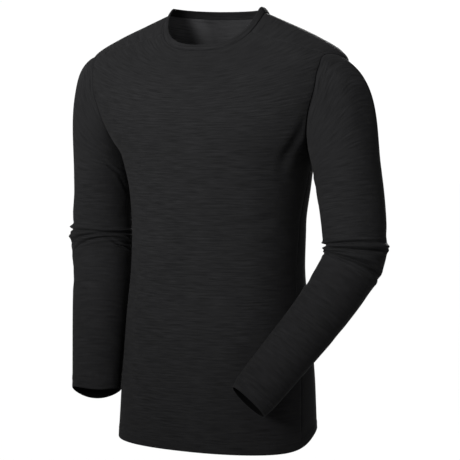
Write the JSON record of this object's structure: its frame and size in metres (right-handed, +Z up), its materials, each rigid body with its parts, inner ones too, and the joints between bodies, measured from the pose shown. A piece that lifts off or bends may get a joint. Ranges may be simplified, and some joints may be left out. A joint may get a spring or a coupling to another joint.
{
  "type": "base layer top",
  "caption": "Long-sleeved crew-neck base layer top in fine knit, filled out as worn, with one sleeve hanging and one bent forward.",
  "frame": {"origin": "on the centre plane, level with the top of the neck binding at the shoulders, where the wearer's neck and shoulders hold the top", "axes": "+Z up, the chest faces -Y, +X towards the wearer's left arm"},
  "size_m": [0.5725, 0.269, 0.6945],
  "materials": {
    "knit": "matt black fine jersey knit with faint uneven crosswise streaks",
    "binding": "matt black folded jersey binding"
  },
  "bodies": {
    "root": {"front_panel": "knit", "back_panel": "knit", "sleeve_left": "knit", "sleeve_right": "knit", "neck_binding": "binding"}
  },
  "joints": []
}
